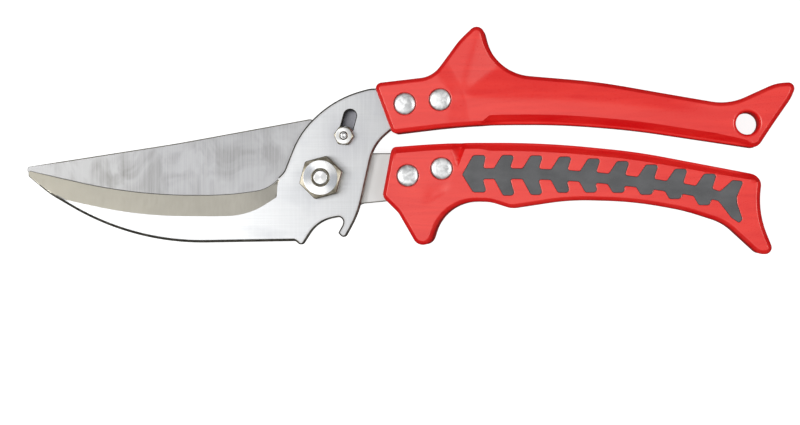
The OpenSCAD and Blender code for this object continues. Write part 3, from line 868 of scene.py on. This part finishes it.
def chamfer_line(inner, widths, side):
    """Line where the chamfer meets the face, on the side of the edge that the face is on."""
    way = np.gradient(inner, axis=0)
    way /= np.linalg.norm(way, axis=1)[:, None]
    width = np.interp(inner[:, 0], *widths)
    made = inner + side * np.stack([-way[:, 1], way[:, 0]], 1) * width[:, None]
    return made[width > LIP]


def notch_line(lean):
    """Straight line from the notch's foot to the handle's edge."""
    return np.array([[NOTCH_X, NOTCH_Y], [NOTCH_X + 6 * lean, NOTCH_Y + 6]])


UPPER_LINES = [PAD_LEFT, PAD_RIGHT, CREST, chamfer_line(UPPER_INNER, UPPER_CHAMFER, 1)]
LOWER_LINES = [chamfer_line(LOWER_INNER, LOWER_CHAMFER, -1), WEDGE, notch_line(NOTCH_LEAN - NOTCH_LEFT),
               notch_line(NOTCH_LEAN), notch_line(NOTCH_LEAN + NOTCH_RIGHT)]


def upper_face(p):
    """Face that is high round the rivets, and falls to a grip whose facets meet at a soft crest."""
    z = TOP - chamfer(p, UPPER_INNER, UPPER_CHAMFER)
    to_left, side_left = distance(p, PAD_LEFT)
    to_right, side_right = distance(p, PAD_RIGHT)
    share = np.where(side_left > 0, np.where(side_right > 0, 1, to_left / (to_left + to_right + 1e-6)), 0)
    d, side = distance(p, CREST)
    soft = 0.45
    fall = GRIP_FALL * soft * np.logaddexp(0, d * side / soft) * (1 - smooth(p[:, 0], 112, 134))
    return z - (GRIP_DROP + fall) * share


def lower_face(p):
    """Face with a V-shaped notch above the inlay's head, and a crease from the finger hook."""
    x, y = p.T
    z = TOP - chamfer(p, LOWER_INNER, LOWER_CHAMFER)
    up = np.clip(y - NOTCH_Y, 0, 6)
    middle = NOTCH_X + up * NOTCH_LEAN
    half = np.where(x < middle, up * NOTCH_LEFT, up * NOTCH_RIGHT)
    notch = np.clip(1 - np.abs(x - middle) / np.maximum(half, 0.05), 0, 1) * up * 0.36
    d, side = distance(p, WEDGE)
    fade = smooth(x, 33.5, 38) * (1 - smooth(x, 40, 44))
    return z - notch - 0.3 * np.exp(-(d / np.where(side > 0, 3.0, 0.8)) ** 2) * fade


def rim_size(p, inner, shares):
    """Size of the rounded rim: small below the steep chamfer and full elsewhere."""
    s, _ = distance(p, inner)
    return 1 - 0.62 * (1 - smooth(s, 1.0, 3.0)) * np.interp(p[:, 0], *shares)


def handle_half(name, flip, outline, face, lines, inner, shares, rivets, hang=False, groove=False):
    """One moulded half: parting groove, side, rounded rim and shaped face, with its holes."""
    insets = [0, 0.05, 0.14, 0.28, 0.46, 0.7, 0.95, 1.2, RIM_W, RIM_W + 0.14]
    piece = Piece()
    low = [piece.ring(ring, z) for ring, z in zip(nested(outline, [0.25, 0.06, 0.02]), [0, 0.16, 0.3])]
    rings = nested(outline, insets)
    size = rim_size(rings[0], inner, shares)
    high = []
    for ring, inset in zip(rings, insets):
        z = face(ring) - rim_profile(inset / (RIM_W * size)) * RIM_H * size
        high.append(piece.ring(ring, z, max(0.0, 1 - abs(inset - 0.45) / 0.6)))
    piece.strips(low + high)

    def shaped_hole(ring_at, from_face, from_parting):
        rows = [(grow, face(ring_at(grow)) + dz) for grow, dz in from_face]
        piece.hole(ring_at, rows + from_parting)

    for at in rivets:
        z = float(face(np.array([at]))[0])
        wall = BARREL_R - HEAD_R - 0.1
        piece.hole(bore(at, HEAD_R + 0.2), [(0.3, z), (0.14, z), (0.03, z - 0.05), (0, z - 0.15), (0, SEAT),
                                            (wall, SEAT), (wall, 0)])
    if hang:
        shaped_hole(bore(HANG_AT, HANG_R), [(1.15, 0), (1.0, 0), (0.72, -0.1), (0.4, -0.36), (0.15, -0.8),
                                            (0.03, -1.3)], [(0, TOP - 2.2), (0, 0.25), (0.2, 0)])
    if groove:
        bed = TOP - INLAY_T - 0.02
        shaped_hole(bone_groove, [(0.3, 0), (0.14, 0), (0.05, -0.04), (0.03, -0.12)], [(0.03, bed)])
        piece.fill([piece.backs.pop()], bed, 3.0)
    piece.fill([high[-1], *piece.mouths], face, 0.9, features=lines)
    piece.fill([low[0], *piece.backs], 0, 4.0, up=False)
    return piece.build(name, [RED], flip)


BONE = fish_bone()


def bone_groove(grow):
    """Groove that the inlay lies in, as a ring at a growth."""
    return nested(BONE, [-grow], 1.2)[0]


def inlay(name, flip):
    """Soft inlay with rounded edges, flush in its groove."""
    piece = Piece()
    insets = [0.02, 0.02, 0.07, 0.16, 0.32]
    heights = [TOP - INLAY_T, TOP - 0.3, TOP - 0.13, TOP - 0.05, TOP - 0.02]
    rings = [piece.ring(r, z) for r, z in zip(nested(BONE, insets, 1.2), heights)]
    piece.strips(rings)
    piece.fill([rings[-1]], heights[-1], 1.3)
    piece.fill([rings[0]], heights[0], 3.0, up=False)
    return piece.build(name, [RUBBER], flip)


def pocket(handle, outline, flip):
    """Cuts the tang's pocket in a handle half, a little larger than the plate."""
    cut_away(handle, prism("pocket_tool", outline, -0.06, -1, PLATE_T + 0.05, RED, flip))


for side, flip in (("front", False), ("rear", True)):
    upper = handle_half(f"upper_grip_{side}", flip, UPPER, upper_face, UPPER_LINES, UPPER_INNER,
                        UPPER_SHARE, UPPER_RIVETS, hang=True)
    lower = handle_half(f"lower_grip_{side}", flip, LOWER, lower_face, LOWER_LINES, LOWER_INNER,
                        LOWER_SHARE, LOWER_RIVETS, groove=True)
    if side == "front":
        pocket(upper, FRONT, flip)
    else:
        pocket(lower, REAR, flip)
    place(upper, "upper_handle", f"upper_handle_{side}")
    place(lower, "lower_handle", f"lower_handle_{side}")

for side, flip in (("front", False), ("rear", True)):
    place(inlay(f"soft_inlay_{side}", flip), "lower_handle", f"grip_inlay_{side}")


# ---- Pivot ----

FLANGE_Z, BOLT_END = levels("pivot_bolt")
FLANGE_T = 1.2
THREAD_R = 2.95


def hexagon(af):
    """Radius of a hexagon over its flats, with its corners broken. The first corner is at angle 0."""
    def radius(a):
        off = a % (math.pi / 3) - math.pi / 6
        return np.minimum(af / 2 / np.cos(off), af / math.sqrt(3) - 0.12)
    return radius


def nut(name, at, af, ends, bore_r, turn, face):
    """Hexagon nut whose top is turned to a circle."""
    radius = hexagon(af)
    z0, z1 = ends
    face_r = af / 2 * 0.87
    slope = math.tan(math.radians(17))
    sides = [lambda a: (np.minimum(radius(a), af / 2), z0), lambda a: (radius(a), z0 + 0.25),
             lambda a: (radius(a), z1 - (radius(a) - face_r) * slope - 0.32)]
    top = [lambda a: (radius(a) - 0.24, z1 - (radius(a) - 0.24 - face_r) * slope), (face_r + 0.1, z1 - 0.03),
           (face_r - 0.12, z1), (bore_r + 0.2, z1), (bore_r + 0.1, z1 - 0.04), (bore_r, z1 - 0.2),
           (bore_r, z0)]
    marks = [1, 1, 1, 1, 0, 0, 1, 1, 1, 1]
    piece = lathe(Piece(), at, sides + top, 144, turn, marks)
    return piece.build(name, [face, FLATS], sharp=15)


def threaded(r, z0, z1, pitch=1.0, depth=0.3):
    """Profile of a screw thread's ridges, from below upwards."""
    rows = []
    for k in range(int((z1 - z0) / pitch)):
        z = z0 + k * pitch
        rows += [(r - depth, z + 0.1), (r, z + pitch * 0.45), (r, z + pitch * 0.6)]
    return rows


def bolt():
    """Bolt with a wide slotted flange, the spring's boss, the pivot's shoulder and a threaded end."""
    r = (bolt_high.x - bolt_low.x) / 2 / MM
    boss_r, low = 5, FLANGE_Z
    under = [(0, low), (r - 0.7, low), (r - 0.1, low + 0.4), (r, low + 0.9), (r - 0.15, low + FLANGE_T),
             (boss_r, low + FLANGE_T), (boss_r, -PLATE_T - 0.05), (SHOULDER_R, -PLATE_T - 0.05),
             (SHOULDER_R, PLATE_T), (THREAD_R - 0.3, PLATE_T)]
    end = [(THREAD_R, BOLT_END - 0.8), (2.3, BOLT_END - 0.1), (2.1, BOLT_END), (0, BOLT_END)]
    rows = soft_corners(under, 0.12) + threaded(THREAD_R, PLATE_T, BOLT_END - 1.0) + soft_corners(end, 0.1)
    made = turned("pivot_bolt_turned", (0, 0), rows, 96, PLATED)
    slit = [[-6, -0.7, 0.1], [6, -0.7, 0.1], [6, 0.7, 0.1], [-6, 0.7, 0.1]]
    cut_away(made, prism("slot_tool", slit, 0, low - 1, low + 0.7, PLATED), 30)
    return made


place(bolt(), "lower_handle", "pivot_bolt")
place(nut("pivot_nut_turned", (0, 0), 13, levels("pivot_nut"), THREAD_R + 0.03, math.radians(15), TURNED),
      "lower_handle", "pivot_nut")


# ---- Opening spring ----

WIRE_R = 0.5
COIL_R = 6.4
LEG_ANGLE = math.acos((COIL_R - PIN_R - WIRE_R - 0.02) / PEG_R)
LEG = PEG_R * math.sin(LEG_ANGLE) + 1.4


def spring():
    """Wire swept along a leg, the coil and the other leg."""
    coil, leg, sides = 180, 8, 14
    z0, z1 = FLANGE_Z + FLANGE_T + WIRE_R + 0.02, -PLATE_T - WIRE_R - 0.04
    a = np.linspace(STOP_ANGLE + LEG_ANGLE, PEG_ANGLE - LEG_ANGLE + 6 * math.pi, coil + 1)
    places = np.column_stack([COIL_R * around(a), np.linspace(z0, z1, coil + 1)])
    ways = np.column_stack([around(a + math.pi / 2), 0 * a])
    wound = np.linspace(0, 1, coil + 1)
    out = LEG * np.arange(1, leg + 1)[:, None] / leg
    places = np.concatenate([(places[0] - out * ways[0])[::-1], places, places[-1] + out * ways[-1]])
    ways = np.concatenate([[ways[0]] * leg, ways, [ways[-1]] * leg])
    wound = np.concatenate([np.zeros(leg), wound, np.ones(leg)])
    piece, rings = Piece(), []
    for p, way in zip(places, ways):
        side, up = np.array([way[1], -way[0], 0]), np.array([0, 0, 1])
        ring = np.array([p + WIRE_R * (side * math.cos(b) + up * math.sin(b))
                         for b in np.arange(sides) * 2 * math.pi / sides])
        rings.append(piece.ring(ring[:, :2], ring[:, 2]))
    piece.strips(rings)
    for end, ahead in ((0, -0.08), (-1, 0.08)):
        tip = places[end] + ahead * ways[end]
        piece.fan(rings[end], piece.ring([tip[:2]], tip[2])[0], ahead > 0)
    made = piece.build("opening_spring", [SPRING])
    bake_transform(made)
    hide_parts("torsion_spring")


def pin(node, angle):
    """Round pin with soft ends, on the ring that the spring's legs reach."""
    z0, z1 = levels(node)
    rows = [(0, z0), *soft_corners([(PIN_R - 0.3, z0), (PIN_R, z0 + 0.3), (PIN_R, z1 - 0.3),
                                    (PIN_R - 0.3, z1)], 0.15), (0, z1)]
    return turned(f"{node}_pin", PEG_R * around(angle), rows, 48, SPRING, 38)


spring()
place(pin("spring_peg", PEG_ANGLE), "upper_handle", "spring_peg")
place(pin("spring_stop", STOP_ANGLE), "lower_handle", "spring_stop")


# ---- Lock ----

def lock_stud():
    """Stud with a collar in the slot and a threaded end."""
    z0, z1 = levels("lock_stud")
    collar_z, collar_r, thread_r = levels("lock_plate")[1], 2, 1.25
    rows = [(0, z0), (STUD_R, z0), (STUD_R, collar_z), (collar_r, collar_z), (collar_r, PLATE_T),
            (1.1, PLATE_T), *threaded(thread_r, PLATE_T, z1 - 0.2, 0.5, 0.15), (thread_r, z1 - 0.22),
            (1.03, z1 - 0.02), (0.85, z1), (0.75, z1 - 0.08), (0, z1 - 0.2)]
    return turned("lock_stud_turned", STUD_AT, rows, 64, PLATED)


def lock_washer():
    """Flat washer under the small nut, with its upper edges broken."""
    z0, z1 = levels("lock_washer")
    r, bore_r = 3.2, 1.3
    rows = [(bore_r, z0), (r - 0.05, z0), (r, z0 + 0.05), (r, z1 - 0.08), (r - 0.08, z1),
            (bore_r + 0.06, z1), (bore_r, z1 - 0.06)]
    return turned("lock_washer_turned", STUD_AT, rows, 64, PLATED)


def lock_slider():
    """Sliding plate with round ends behind the slot."""
    z0, z1 = levels("lock_plate")
    start = STUD_AT - 0.5 * around(LOCK_ANGLE)
    rows = [(-0.2, z0), (-0.05, z0 + 0.06), (0, z0 + 0.2), (0, z1 - 0.2), (-0.05, z1 - 0.06), (-0.2, z1)]
    piece = Piece()
    rings = [piece.ring(capsule(start, 4.5 + grow, 6, LOCK_ANGLE), z) for grow, z in rows]
    piece.strips(rings)
    piece.hole(bore(STUD_AT, STUD_R + 0.02), [(0, z1), (0, z0)])
    piece.fill([rings[-1], *piece.mouths], z1, 1.5)
    piece.fill([rings[0], *piece.backs], z0, 1.5, up=False)
    return piece.build("lock_slider_plate", [SPRING])


def lock_button():
    """Thumb button with a dished end and twelve notches round its edge."""
    z0, z1 = levels("lock_button")
    size, bore_r = 5.0, STUD_R + 0.04

    def notched(r, z):
        """Row of the edge, where the notches cut in as far as 0.45."""
        def row(a):
            off = np.abs((a + math.pi / 12) % (math.pi / 6) - math.pi / 12) * size
            bite = np.sqrt(np.clip(0.64 - off ** 2, 0, None)) - 0.35
            return np.minimum(r, size - np.clip(bite, 0, None)), z
        return row

    rows = [(0, z0 + 0.25), (2.2, z0 + 0.2), (3.1, z0 + 0.03), (3.5, z0), notched(3.9, z0),
            notched(4.3, z0 + 0.12), notched(4.7, z0 + 0.4), notched(4.93, z0 + 0.8),
            notched(size, z0 + 1.3), notched(size, z1 - 0.15), notched(4.88, z1), (bore_r, z1),
            (bore_r, z0 + 0.75), (0, z0 + 0.75)]
    return turned("lock_thumb_button", STUD_AT, rows, 240, BUTTON)


place(lock_stud(), "lock", "lock_stud")
place(nut("lock_nut_turned", STUD_AT, 6, levels("lock_nut"), 1.28, math.radians(-5), PLATED),
      "lock", "lock_nut")
place(lock_washer(), "lock", "lock_washer")
place(lock_slider(), "lock", "lock_plate")
place(lock_button(), "lock", "lock_button")


# ---- Rivets ----

def rivets(kind, places, body):
    """Headed pins from the front, and headed barrels from the back that they are pressed into."""
    top, low = TOP + 0.3, -TOP + 0.1
    dome_z = SEAT + 0.5
    dome = [(HEAD_R * t, dome_z + (top - dome_z) * math.sqrt(1 - t ** 3))
            for t in np.sin(np.linspace(math.pi / 2, 0, 14))]
    back = [(HEAD_R * math.sin(a), low + 0.5 - 0.5 * math.cos(a)) for a in np.linspace(0, math.pi / 2, 10)]
    pins, barrels = Piece(), Piece()
    for at in places:
        lathe(pins, at, [(0, 1 - SEAT), (SHANK_R - 0.15, 1 - SEAT), (SHANK_R, 1.2 - SEAT), (SHANK_R, SEAT),
                         (HEAD_R - 0.1, SEAT), (HEAD_R, SEAT + 0.12), *dome[:-1], (0, top)])
        lathe(barrels, at, [(0, low), *back[1:], (HEAD_R - 0.1, -SEAT), (BARREL_R, -SEAT),
                            (BARREL_R, SEAT - 0.12), (SHANK_R + 0.02, SEAT - 0.12),
                            (SHANK_R + 0.02, 0.9 - SEAT), (0, 0.9 - SEAT)])
    place(pins.build(f"{kind}_rivet_pins", [RIVET]), body, f"{kind}_rivets")
    place(barrels.build(f"{kind}_rivet_barrels", [RIVET]), body, f"{kind}_rivet_caps")


rivets("upper", UPPER_RIVETS, "upper_handle")
rivets("lower", LOWER_RIVETS, "lower_handle")


# ---- Stage ----

def floor():
    """White ground that only the camera sees and the shadows fall on."""
    mesh = bpy.data.meshes.new("floor")
    r = 12
    mesh.from_pydata([(-r, -r, 0), (r, -r, 0), (r, r, 0), (-r, r, 0)], [], [(0, 1, 2, 3)])
    paper = Shader("floor", Base_Color=(0.35, 0.35, 0.35, 1), Roughness=0.9, Specular_IOR_Level=0.0,
                   Emission_Color=(1, 1, 1, 1), Emission_Strength=0.92)
    mesh.materials.append(paper.material)
    obj = add_object("floor", mesh)
    obj.location.z = cad_low.z - 0.0002
    obj.visible_glossy = obj.visible_diffuse = False


def sky():
    """Studio tent, dark low down, which draws the steel's edges and keeps the red deep on steep faces."""
    world = bpy.data.worlds.new("tent")
    bpy.context.scene.world = world
    world.use_nodes = True
    tree = world.node_tree
    tree.nodes.clear()
    place_of = add_node(tree, "TexCoord").outputs["Generated"]
    height = add_node(tree, "SeparateXYZ", {0: place_of}).outputs[2]
    ramp = add_node(tree, "ValToRGB", {0: height})
    ramp.color_ramp.interpolation = "EASE"
    stops = [(0.0, 0.03), (0.24, 0.08), (0.42, 0.46), (0.62, 0.44), (1.0, 0.36)]
    for at, _ in stops[1:-1]:
        ramp.color_ramp.elements.new(at)
    for element, (_, v) in zip(ramp.color_ramp.elements, stops):
        element.color = (v, v * 0.995, v * 0.98, 1)
    tent = add_node(tree, "Background", {0: ramp.outputs[0]}).outputs[0]
    pale = add_node(tree, "Background", {0: (1, 1, 1, 1)}).outputs[0]
    seen = add_node(tree, "LightPath").outputs["Is Camera Ray"]
    pick = add_node(tree, "MixShader", {0: seen, 1: tent, 2: pale}).outputs[0]
    add_node(tree, "OutputWorld", {0: pick})


def sun(name, tilt, azimuth):
    """Soft far light that leans from overhead by tilt towards azimuth, in degrees (0 is +X, 90 is +Y)."""
    light = bpy.data.lights.new(name, "SUN")
    light.energy, light.angle = 0.95, math.radians(20)
    add_object(name, light).rotation_euler = (0, math.radians(tilt), math.radians(azimuth))


def softbox():
    """Soft light that the flat faces reflect, brightest over the blades."""
    light = bpy.data.lights.new("softbox", "AREA")
    light.shape, light.size, light.size_y = "RECTANGLE", 1.2, 1.05
    radiance = 1.1
    light.energy = radiance * math.pi * light.size * light.size_y
    obj = add_object("softbox", light)
    obj.location = (-0.46, -0.27, 1.25)
    obj.rotation_euler = (math.radians(-12), math.radians(-20), 0)


def camera():
    """90 mm lens over the handles, leaning towards the blades."""
    data = bpy.data.cameras.new("camera")
    data.lens, data.sensor_width = 90, 36
    obj = add_object("camera", data)
    obj.location = (PIVOT[0] + 0.0896, PIVOT[1] - 0.0117, 0.6775)
    obj.rotation_euler = (0, math.radians(5.427), 0)
    bpy.context.scene.camera = obj


floor()
sky()
softbox()
sun("left", 35, 180)
sun("right", 35, 0)
camera()
bpy.context.scene.view_settings.view_transform = "Standard"
